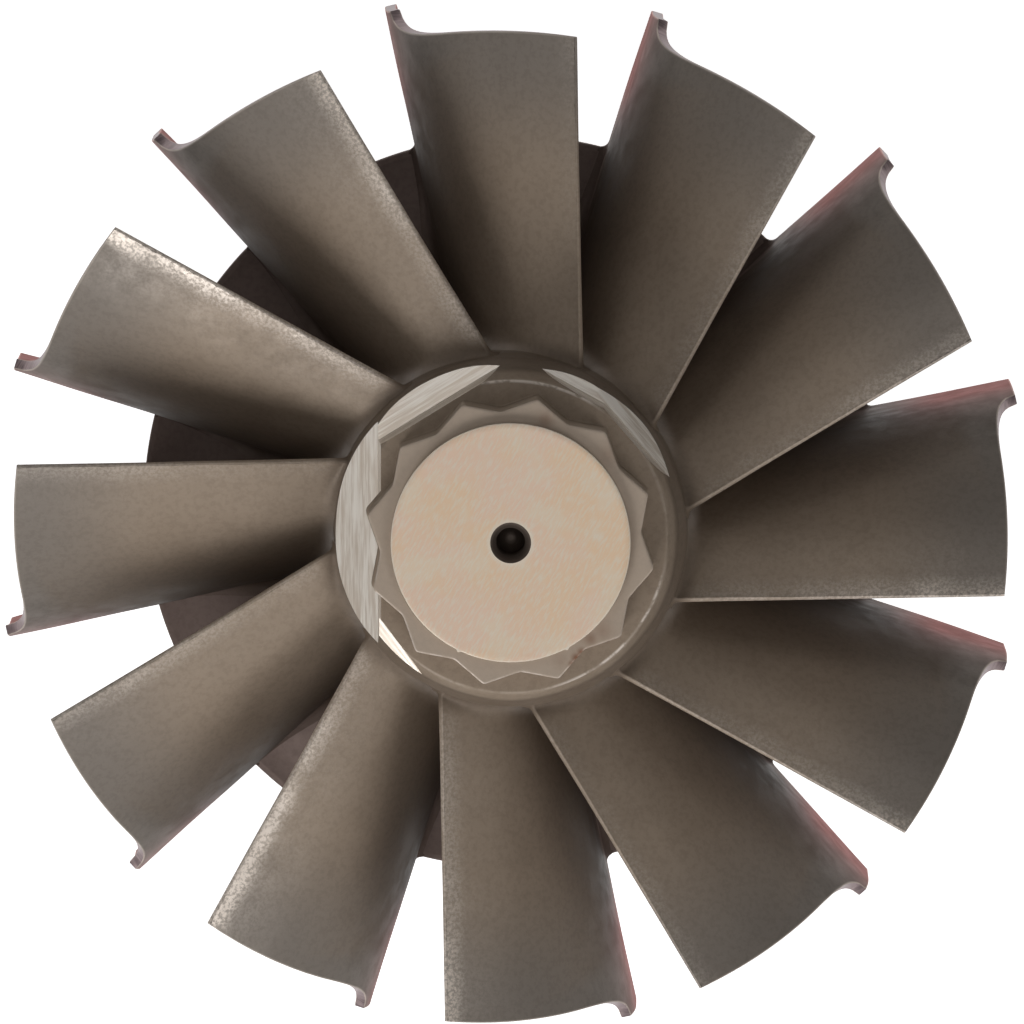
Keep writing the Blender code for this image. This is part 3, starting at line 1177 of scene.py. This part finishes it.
@dataclass
class Blade:
    """One cast blade with its root fillet, rounded trailing edge and machined tip.

    The cells, cuts and rows lay out its grid: each section of the root ends at a
    root cut, a radius, and that of the tip at a tip cut, a height. The near rows'
    distances from the root are in millimetres.
    """

    form: WheelForm
    index: int
    cells: tuple[int, ...] = (5, 22, 24, 16, 3)
    root_cuts: Range = (30.0 * MM, 19.5 * MM)
    tip_cuts: Range = (24.0 * MM, 38.5 * MM)
    back_cut: float = 1.2 * MM
    outlet_cut: float = 0.6 * MM
    rim_steps: int = 12
    hub_steps: int = 240
    near_rows: tuple[float, ...] = (
        -0.25, 0.0, 0.1, 0.22, 0.38, 0.58, 0.85, 1.2, 1.6, 2.1, 2.8, 3.6)
    far_rows: int = 36
    below_rim: float = 2.0 * MM
    above_collar: float = 6.0 * MM
    fillet: float = 2.0 * MM
    outlet_fillet: float = 0.5 * MM
    fillet_change: float = 5.0 * MM
    fillet_end: float = math.radians(70.0)
    rim_share: float = 0.4
    rim_change: Range = (10.5 * MM, 17.0 * MM)
    outlet_thickness: float = 0.5 * MM
    outlet_growth: float = 0.006
    thinned: float = 8.0 * MM
    outlet_nose: float = 0.26 * MM
    nose_growth: float = 0.2
    back_nose: float = 0.25 * MM
    nose_power: float = 2.2
    cap_steps: int = 3
    tip_chamfer: float = 0.08 * MM
    wave: float = 0.03 * MM
    worn_gaps: Range = (0.5 * MM, 3.0 * MM)
    # Scuff band strength: wear plus painted highlight, stronger outwards and set blade by blade
    # where the lamps light the outer ends.
    rubbed_radii: Range = (30.0 * MM, 46.0 * MM)
    rubbed_inside: float = 0.45
    rubbed: tuple[float, ...] = (0.3, 2.5, 3.3, 0.9, 1.3, 3.1, 1.9, 0.7, 1.5, 1.9, 1.3, 1.0)

    @property
    def name(self) -> str:
        """Name of the piece, numbered from 01."""
        return f"blade_{self.index + 1:02d}"

    def root_line(self) -> Array:
        """Hub surface under the blade: up the rim's side, then along the hub line.

        Returns:
            Points (radius, height), one row each.
        """
        form = self.form
        rim_z = np.linspace(form.edge_z(form.disc_radius), form.rim_top_z(), self.rim_steps)[:-1]
        rim = np.stack([np.full(len(rim_z), form.disc_radius), rim_z], axis=-1)
        first = math.asin((form.collar_z - form.outlet_z) / form.hub_drop)
        turns = np.linspace(form.last_turn(), first, self.hub_steps)
        return np.concatenate([rim, form.hub_line(turns)])

    def chord_lines(self) -> tuple[Array, Array]:
        """Ends of the lines that run across the blade from its root to its tip.

        The root's arc length and the tip's height are cut into the same number of
        steps, section by section: the rim's side, the disc, the hub and the outlet.

        Returns:
            Root points and tip points, as rows of (radius, height).
        """
        form = self.form
        root = self.root_line()
        length = np.concatenate([[0.0], np.cumsum(np.linalg.norm(np.diff(root, axis=0), axis=1))])
        corner = self.rim_steps - 1
        cuts = np.interp(-np.array(self.root_cuts), -root[corner:, 0], length[corner:])
        low = form.edge_z(form.inlet_radius)
        ends = (length[corner], *cuts, length[-1] - self.outlet_cut, length[-1])
        arcs = stepped(0.0, ends, self.cells)
        ends = (low + self.back_cut, *self.tip_cuts, form.outlet_z - self.outlet_cut, form.outlet_z)
        heights = stepped(low, ends, self.cells)
        start = np.stack([np.interp(arcs, length, part) for part in root.T], axis=-1)
        heights[-1] -= self.outlet_nose
        start[-1, 1] -= self.outlet_nose
        return start, np.stack([form.tip_radius(heights), heights], axis=-1)

    def mean_grid(self) -> tuple[Array, Array, Array]:
        """Radius, height and distance to the tip on a grid of span rows and chord columns.

        Rows stand at fixed distances from the root within the fillet, and at equal
        shares of the rest of each line beyond it.

        Returns:
            Radius, height and tip distance, each of shape (rows, columns).
        """
        start, end = self.chord_lines()
        span = np.linalg.norm(end - start, axis=1)[None, :]
        near = np.array(self.near_rows)[:, None] * MM
        share = np.linspace(0.0, 1.0, self.far_rows + 1)[1:, None]
        far = near[-1] + share * (span - self.tip_chamfer - near[-1])
        along = np.concatenate([near + 0.0 * span, far, span])
        radius = start[:, 0] + (end - start)[:, 0] * along / span
        height = start[:, 1] + (end - start)[:, 1] * along / span
        return radius, height, span - along

    def hub_distance(self, radius: Array, height: Array) -> Array:
        """Distance of points from the hub surface.

        Each point is compared with every short segment of the root line, and the
        nearest foot point counts.

        Args:
            radius: Radius of each point.
            height: Height of each point.

        Returns:
            The distances, negative inside the hub.
        """
        form = self.form
        collar = form.hub_line(np.array([0.0]))
        rim = [[form.disc_radius, form.rim_back_z - self.below_rim]]
        above = collar + [[0.0, self.above_collar]]
        line = np.concatenate([rim, self.root_line(), collar, above])
        point = np.stack([radius.ravel(), height.ravel()], axis=-1)[:, None, :]
        first, step = line[:-1][None], np.diff(line, axis=0)[None]
        share = np.clip(((point - first) * step).sum(-1) / (step**2).sum(-1), 0.0, 1.0)
        gap = point - first - share[..., None] * step
        distance = np.linalg.norm(gap, axis=-1)
        nearest = distance.argmin(axis=1)
        rows = np.arange(len(nearest))
        gap, step = gap[rows, nearest], step[0, nearest]
        outside = step[:, 1] * gap[:, 0] - step[:, 0] * gap[:, 1] >= 0.0
        return (distance[rows, nearest] * np.where(outside, 1.0, -1.0)).reshape(radius.shape)

    def flare(self, distance: Array, height: Array) -> Array:
        """Widening of the blade near the hub: a circular fillet, straight at its foot.

        At distance d the circle of radius R gives R minus the root of R squared minus
        (R - d) squared; below its end angle it goes on along the tangent. The radius
        shrinks smoothly over the last millimetres before the outlet and near the rim.

        Args:
            distance: Distance of each point from the hub.
            height: Height of each point.

        Returns:
            Extra half thickness at each point.
        """
        grown = smooth_step(self.form.outlet_z - height, 0.0, self.fillet_change)
        size = self.outlet_fillet + (self.fillet - self.outlet_fillet) * grown
        risen = smooth_step(height, *self.rim_change)
        size = size * (self.rim_share + (1.0 - self.rim_share) * risen)
        foot = size * (1.0 - math.sin(self.fillet_end))
        reach = np.clip(size - distance, 0.0, size - foot)
        curve = size - np.sqrt(size**2 - reach**2)
        return curve + np.maximum(foot - distance, 0.0) * math.tan(self.fillet_end)

    def section(self, columns: int) -> tuple[Array, ...]:
        """Ring round the blade's section, from the back edge along one side and back.

        The two edges are half superellipses: sin(a) and cos(a), each raised to two
        over the power, are the shares across and along the sheet.

        Args:
            columns: Mean points between the two edges.

        Returns:
            For each point of the ring its mean point, its share of the half thickness,
            the sign of its side, and its shares of the back edge's and the outlet's nose.
        """
        angle = np.linspace(0.0, math.pi / 2.0, self.cap_steps + 1)[1:-1]
        across = np.sin(angle) ** (2.0 / self.nose_power)
        along = np.cos(angle) ** (2.0 / self.nose_power)
        cap = len(angle) + 1
        base = np.concatenate([np.zeros(cap, int), np.arange(columns), np.full(cap, columns - 1)])
        wide = np.concatenate([[0.0], across, np.ones(columns), across[::-1], [0.0]])
        back = np.concatenate([[1.0], along, np.zeros(columns + cap)])
        side = len(base)
        pick = np.concatenate([np.arange(side), np.arange(side - 2, 0, -1)])
        sign = np.where(np.arange(len(pick)) < side, -1.0, 1.0)
        return base[pick], wide[pick], sign, back[pick], back[::-1][pick]

    def build(self) -> bpy.types.Object:
        """Loft rings round the blade's section from the root to the tip and close both ends.

        A ring's point is its mean-sheet point plus an offset across the sheet and one
        along it. The outlet's thinning is taken off the upper side alone.

        Returns:
            The blade's object.
        """
        form = self.form
        radius, height, tip_gap = self.mean_grid()
        root_gap = self.hub_distance(radius, height)
        edge_gap = self.edge_distance(radius, height)
        flare = self.flare(root_gap, height)
        thickness = form.blade_thickness(radius, height)
        half = 0.5 * thickness + flare
        half[-1] -= self.tip_chamfer
        target = self.outlet_thickness + self.outlet_growth * (form.inlet_radius - radius)
        thin = 0.5 * (thickness - target) * (1.0 - smooth_step(edge_gap, 0.0, self.thinned))
        base, wide, sign, back, front = self.section(radius.shape[1])
        r, z, spare = radius[:, base], height[:, base], thin[:, base]
        offset = (half[:, base] - spare) * wide * sign - spare + self.waves(r, z) * wide
        nose = self.outlet_nose + self.nose_growth * flare[:, base]
        slide = front * nose - back * self.back_nose
        points = self.place(r, z, offset, slide).reshape(-1, 3)
        for flat in FLATS:
            points = flat.press(points)
        mesh = self.mesh(points, len(radius), len(base))
        # Edge wear fades near the root; the scuff band, partly painted highlight, grows outwards
        # and differs blade by blade.
        worn = smooth_step(root_gap[:, base], *self.worn_gaps)
        outer = self.rubbed_inside + (1.0 - self.rubbed_inside) * smooth_step(r, *self.rubbed_radii)
        SurfaceMarks(edge_gap=edge_gap[:, base], edge_wear=worn, root_gap=root_gap[:, base],
                     tip_gap=tip_gap[:, base],
                     edge_scuff=worn * outer * self.rubbed[self.index]).store(mesh)
        return add_object(self.name, mesh)

    def edge_distance(self, radius: Array, height: Array) -> Array:
        """Distance along the leaning sheet to its outlet edge: height left times slope."""
        slope = radius * self.form.lean(radius, height)
        return np.maximum(self.form.outlet_z - height, 0.0) * np.sqrt(1.0 + slope**2)

    def waves(self, radius: Array, height: Array) -> Array:
        """Slight casting waves across the blade: two sines of place and blade number.

        Args:
            radius: Radius of each point.
            height: Height of each point.

        Returns:
            Distance across the blade at each point.
        """
        shift = 1.9 * self.index
        return self.wave * (np.sin(190.0 * radius + 260.0 * height + shift)
                            + 0.6 * np.sin(430.0 * radius - 350.0 * height + 2.3 * shift))

    def place(self, radius: Array, height: Array, offset: Array, slide: Array) -> Array:
        """Put section offsets on the mean sheet.

        The sheet's normal is (-r dθ/dr, 1, -r dθ/dz) in radial, round and axial parts,
        made unit length; the sliding direction is (0, r dθ/dz, 1), made unit length.

        Args:
            radius: Radius of each mean point.
            height: Height of each mean point.
            offset: Distance across the sheet.
            slide: Distance along the sheet towards the outlet.

        Returns:
            Positions with a last axis of three.
        """
        form = self.form
        per_z = -radius * form.lean(radius, height)
        reach = np.sqrt(radius**2 - form.outlet_offset**2)
        per_r = form.rise(height) ** form.wrap_power * form.outlet_offset / reach
        size = np.sqrt(1.0 + per_z**2 + per_r**2)
        step = np.sqrt(1.0 + per_z**2)
        round_part = offset / size + slide * per_z / step
        axial_part = -offset * per_z / size + slide / step
        azimuth = form.blade_angle(radius, height) + round_part / radius
        azimuth = azimuth + self.index * FULL_TURN / form.blade_count
        moved = radius - offset * per_r / size
        x, y = moved * np.cos(azimuth), moved * np.sin(azimuth)
        return np.stack([x, y, height + axial_part], axis=-1)

    def mesh(self, points: Array, rows: int, columns: int) -> bpy.types.Mesh:
        """Join the rings with quads and close the root and the tip with rungs.

        Args:
            points: Positions, ring by ring from the root.
            rows: Number of rings.
            columns: Points in a ring.

        Returns:
            The mesh with its finishes.
        """
        rings = ring_faces(rows, columns, 0)[:, ::-1]
        half = columns // 2
        left = np.arange(1, half - 1)
        rungs = np.stack([left, left + 1, columns - left - 1, columns - left], axis=-1)
        ends = np.array([[0, 1, columns - 1], [half - 1, half, half + 1]])
        last = (rows - 1) * columns
        faces = [rings, rungs[:, ::-1], ends[:, ::-1], rungs + last, ends + last]
        slots = [np.full(len(block), slot) for block, slot in zip(faces, (0, 0, 0, 1, 1))]
        mesh = polygon_mesh(self.name, points, faces, slots)
        give_finishes(mesh, Finish.CAST, Finish.TIP)
        shade(mesh)
        return mesh


@dataclass
class Nose:
    """Twelve-point nose with its raised brushed face and centre hole.

    The lines and the oxide marks are in millimetres, and the burrs in degrees. The
    hole line is (depth below the face, radius), the lip line (drop, inset), the edge
    line (drop below the star's top, growth, gap to the edge), the foot line (height
    above the ledge, growth), and a mark is (x, y, size, strength).
    """

    form: WheelForm
    top_z: float
    corner_radius: float = 15.13 * MM
    corner_angle: float = math.radians(19.3)
    edge_points: int = 24
    softness: float = 0.22 * MM
    soft_reach: int = 6
    face_radius: float = 12.44 * MM
    face_inset: float = 0.16 * MM
    hole_radius: float = 2.0 * MM
    hole_lip: float = 0.2 * MM
    hole_line: tuple[Range, ...] = (
        (6.8, 0.0), (6.0, 1.45), (5.9, 1.5), (2.4, 1.5), (1.0, 1.52), (0.25, 1.9), (0.0, 2.12))
    lip_line: tuple[Range, ...] = ((0.04, 0.05), (0.12, 0.0))
    star_shares: tuple[float, ...] = (0.8, 0.6, 0.4, 0.2, 0.08)
    edge_line: tuple[tuple[float, float, float], ...] = (
        (0.0, -0.24, 0.3), (0.02, -0.1, 0.1), (0.09, -0.02, 0.0), (0.22, 0.0, 0.2), (0.4, 0.0, 0.5))
    side_rows: int = 9
    foot_line: tuple[Range, ...] = (
        (0.26, 0.0), (0.12, 0.03), (0.04, 0.09), (0.0, 0.2), (-0.3, 0.3))
    burrs: tuple[float, ...] = (244.3, 298.0)
    burr_size: float = 0.2 * MM
    burr_spread: float = 0.9
    # Way towards the lower-left lamp along which the star's edge line grows: wear plus painted
    # highlight.
    worn_way: tuple[float, float, float] = (-0.35, -0.94, 0.0)
    worn_reach: Range = (3.0 * MM, 11.0 * MM)
    least_wear: float = 0.15
    oxide_marks: tuple[tuple[float, float, float, float], ...] = (
        (7.35, -11.5, 0.45, 0.9), (6.85, -12.1, 0.5, 1.0), (6.4, -12.7, 0.4, 0.8),
        (8.3, -10.1, 0.7, 0.5), (9.6, -9.3, 1.0, 0.3), (3.6, 12.7, 0.8, 0.4),
        (10.2, 9.1, 1.2, 0.2), (5.2, -12.4, 0.8, 0.2))
    oxide_drops: Range = (1.4 * MM, 0.2 * MM)

    def outline(self) -> tuple[Array, Array]:
        """Outline of two hexagons turned by half a side, with softened corners.

        Corner points lie at the full radius every 30 degrees, and valley points
        between them where the hexagons' sides cross. Straight edges join them, and a
        running mean of the closed line rounds the corners.

        Returns:
            Outline points and outward unit normals, one row each.
        """
        valley = self.corner_radius * math.cos(math.pi / 6.0) / math.cos(math.pi / 12.0)
        turn = np.arange(24)
        angle = self.corner_angle + turn * math.pi / 12.0
        radius = np.where(turn % 2 == 0, self.corner_radius, valley)
        corner = np.stack([radius * np.cos(angle), radius * np.sin(angle)], axis=-1)[:, None, :]
        share = (np.arange(self.edge_points) / self.edge_points)[None, :, None]
        line = (corner * (1.0 - share) + np.roll(corner, -1, axis=0) * share).reshape(-1, 2)
        spacing = np.linalg.norm(line[1] - line[0])
        reach = np.arange(-self.soft_reach, self.soft_reach + 1)
        weight = np.exp(-0.5 * (reach * spacing / self.softness) ** 2)
        weight /= weight.sum()
        soft = sum(part * np.roll(line, shift, axis=0) for shift, part in zip(reach, weight))
        along = np.roll(soft, -1, axis=0) - np.roll(soft, 1, axis=0)
        normal = np.stack([along[:, 1], -along[:, 0]], axis=-1)
        return soft, normal / np.linalg.norm(normal, axis=1, keepdims=True)

    def build(self) -> bpy.types.Object:
        """Carry the outline up the nose and draw it in to the round face and the hole.

        A ring is the star's outline moved outwards by a small amount, mixed with a
        circle: share 0 keeps the star, share 1 is the circle. A burr is a Gaussian
        bell of the azimuth on the face's rim.

        Returns:
            The nose's object.
        """
        top, star, ledge = self.top_z, self.form.star_top_z, self.form.ledge_z
        outline, normal = self.outline()
        azimuth = np.arctan2(outline[:, 1], outline[:, 0])
        circle = np.stack([np.cos(azimuth), np.sin(azimuth)], axis=-1)
        turn = (np.degrees(azimuth)[:, None] - np.array(self.burrs) + 180.0) % 360.0 - 180.0
        burr = (self.burr_size * np.exp(-(turn / self.burr_spread) ** 2)).sum(axis=1)[:, None]
        rings, slots, gaps = [], [], []

        def add(height: float, grow: float = 0.0, radius: float | Array = 0.0, share: float = 0.0,
                slot: int = 0, gap: float = FAR) -> None:
            """Add one ring, the finish of the band that ends at it and its gap to the edge.

            Args:
                height: Height of the ring.
                grow: Distance by which the star's outline moves outwards.
                radius: Radius of the circle.
                share: Share of the circle.
                slot: Material slot of the band that ends at the ring.
                gap: Distance to the star's edge.
            """
            flat = (1.0 - share) * (outline + grow * normal) + share * radius * circle
            rings.append(np.column_stack([flat, np.full(len(flat), height)]))
            slots.append(slot)
            gaps.append(gap)

        for depth, radius in self.hole_line:
            add(top - depth * MM, share=1.0, radius=radius * MM, slot=2)
        width = self.face_radius - self.hole_radius
        face = self.hole_radius + np.linspace(0.08, 0.94, 12) * width
        for radius in (self.hole_radius + self.hole_lip, *face, self.face_radius - self.face_inset):
            add(top, share=1.0, radius=radius, slot=1)
        for drop, inset in self.lip_line:
            add(top - drop * MM, share=1.0, radius=self.face_radius - inset * MM + burr, slot=1)
        add(star + 0.1 * MM, share=1.0, radius=self.face_radius)
        add(star, share=1.0, radius=self.face_radius + 0.08 * MM)
        for share in self.star_shares:
            add(star, share=share, radius=self.face_radius + 0.15 * MM, grow=-0.3 * MM)
        for drop, grow, gap in self.edge_line:
            add(star - drop * MM, grow=grow * MM, gap=gap * MM)
        for height in np.linspace(star - 1.0 * MM, ledge + 0.6 * MM, self.side_rows):
            add(height)
        for lift, grow in self.foot_line:
            add(ledge + lift * MM, grow=grow * MM)
        for radius in (10.0 * MM, 0.0):
            add(ledge - 1.5 * MM, share=1.0, radius=radius)
        mesh = ring_solid("nose", np.array(rings), np.array(slots[1:]))
        give_finishes(mesh, Finish.CAST, Finish.FACE, Finish.HOLE)
        shade(mesh)
        self.mark(mesh, np.array(rings), gaps)
        return add_object("nose", mesh)

    def mark(self, mesh: bpy.types.Mesh, rings: Array, gaps: list[float]) -> None:
        """Store the wear of the star's edge, with a painted highlight on its side towards the
        lower-left lamp, and the oxide marks near its top.

        A mark's strength falls with the distance from its middle as a Gaussian bell.

        Args:
            mesh: Mesh of the nose.
            rings: Positions of its rings.
            gaps: Gap of each ring to the star's edge.
        """
        points = poled_points(rings)
        marks = np.array(self.oxide_marks)
        away = np.hypot(points[:, :1] / MM - marks[:, 0], points[:, 1:2] / MM - marks[:, 1])
        strength = (marks[:, 3] * np.exp(-((away / marks[:, 2]) ** 2))).max(axis=1)
        low, high = (self.form.star_top_z - drop for drop in self.oxide_drops)
        # Edge line stronger towards the lower-left lamp: painted highlight on top of wear.
        side = smooth_step(points @ np.array(self.worn_way), *self.worn_reach)
        gap = np.concatenate([[FAR], np.repeat(gaps[1:-1], rings.shape[1]), [FAR]])
        SurfaceMarks(edge_gap=gap, edge_wear=self.least_wear + 0.5 * side,
                     oxide=strength * smooth_step(points[:, 2], low, high)).store(mesh)


@dataclass(frozen=True)
class Lamp:
    """Square area light; it stands at an azimuth and an elevation, both in degrees."""

    name: str
    azimuth: float
    elevation: float
    power: float
    size: float = 0.32

    def way(self) -> Vector:
        """Unit vector from the wheel to the lamp.

        Returns:
            The vector.
        """
        azimuth, elevation = math.radians(self.azimuth), math.radians(self.elevation)
        flat = math.cos(elevation)
        return Vector((flat * math.cos(azimuth), flat * math.sin(azimuth), math.sin(elevation)))


@dataclass
class Studio:
    """White floor, soft lights and the camera at the photograph's angle."""

    floor_radius: float = 2.0
    floor_sides: int = 96
    floor_drop: float = 0.02 * MM
    floor_white: Colour = (0.9, 0.9, 0.9, 1.0)
    floor_rough: float = 0.9
    floor_glow: float = 0.95
    world_level: float = 0.08
    lamps: tuple[Lamp, ...] = (
        Lamp("lower_left_light", 239.0, 34.0, 1.85),
        Lamp("lower_right_light", 312.0, 35.0, 1.05),
        Lamp("overhead_panel", 270.0, 85.0, 0.26),
        Lamp("upper_left_panel", 121.0, 47.0, 0.26, 0.2),
        Lamp("upper_panel", 58.0, 44.0, 0.13, 0.18),
        Lamp("left_panel", 182.0, 47.0, 0.14, 0.2),
    )
    lamp_distance: float = 0.7
    camera_tilt: float = math.radians(4.712)
    camera_swing: float = math.radians(0.047)
    camera_distance: float = 1.5
    camera_lens: float = 498.4
    camera_sensor: float = 36.0
    camera_clip: Range = (0.05, 20.0)
    target: tuple[float, float, float] = (0.117 * MM, 0.747 * MM, 32.3 * MM)

    def floor(self) -> None:
        """Round white floor. Its glow keeps the wheel's shadow faint; only gloss reflects it."""
        angle = np.linspace(0.0, FULL_TURN, self.floor_sides, endpoint=False)
        points = np.stack([np.cos(angle), np.sin(angle), 0.0 * angle], axis=-1) * self.floor_radius
        points[:, 2] = -self.floor_drop
        mesh = polygon_mesh("studio_floor", points, [np.arange(self.floor_sides)[None, :]])
        bench = NodeBench("studio_white")
        bench.put(bench.shader.inputs["Emission Color"], WHITE)
        bench.put(bench.shader.inputs["Emission Strength"], self.floor_glow)
        mesh.materials.append(bench.finish(self.floor_white, 0.0, self.floor_rough, None))
        piece = add_object("studio_floor", mesh)
        piece.visible_diffuse = False

    def light(self, lamp: Lamp) -> None:
        """Set up one lamp so that it looks at the wheel; the camera doesn't see it.

        Args:
            lamp: Lamp to set up.
        """
        data = bpy.data.lights.new(lamp.name, "AREA")
        data.energy = lamp.power
        data.size = lamp.size
        item = add_object(lamp.name, data)
        item.location = Vector(self.target) + self.lamp_distance * lamp.way()
        item.rotation_euler = lamp.way().to_track_quat("Z", "Y").to_euler()
        item.visible_camera = False

    def world(self) -> None:
        """Even white surroundings."""
        world = bpy.data.worlds.new("studio")
        world.use_nodes = True
        back = world.node_tree.nodes["Background"]
        back.inputs["Color"].default_value = WHITE
        back.inputs["Strength"].default_value = self.world_level
        bpy.context.scene.world = world

    def camera(self) -> None:
        """Long lens straight above the nose, tipped a little towards the picture's top."""
        data = bpy.data.cameras.new("camera")
        data.lens = self.camera_lens
        data.sensor_width = self.camera_sensor
        data.clip_start, data.clip_end = self.camera_clip
        item = add_object("camera", data)
        flat = math.cos(self.camera_tilt)
        way = Vector((math.sin(self.camera_swing) * flat, math.sin(self.camera_tilt),
                      math.cos(self.camera_swing) * flat))
        item.location = Vector(self.target) + self.camera_distance * way
        up = (Vector((0.0, 1.0, 0.0)) - way.y * way).normalized()
        item.rotation_euler = Matrix((up.cross(way), up, way)).transposed().to_euler()
        bpy.context.scene.camera = item

    def build(self) -> None:
        """Set up the floor, the lights, the surroundings and the camera."""
        self.floor()
        for lamp in self.lamps:
            self.light(lamp)
        self.world()
        self.camera()
        bpy.context.scene.view_settings.view_transform = "Standard"


def make_finishes() -> None:
    """Make every material of the wheel."""
    tip = GroundMetal(name=Finish.TIP.value, base=(0.20, 0.148, 0.15, 1.0),
                      pale=(0.34, 0.26, 0.26, 1.0), rough=(0.40, 0.52))
    for finish in (CastAlloy(), TurnedBack(), BrushedFace(), GroundMetal(), tip, DrilledHole()):
        finish.make()


def main() -> None:
    """Build the wheel and the studio in order and report each piece."""
    logging.basicConfig(level=logging.INFO, format="%(message)s")
    form = WheelForm()
    make_finishes()
    Studio().build()
    top_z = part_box(WHEEL_NODE)[1][2]
    pieces = [Hub(form).build(), Nose(form, top_z).build()]
    pieces += [Blade(form, index).build() for index in range(form.blade_count)]
    for piece in pieces:
        mount_piece(piece)
        LOG.info("%s: %d faces", piece.name, len(piece.data.polygons))


if __name__ == "__main__":
    main()
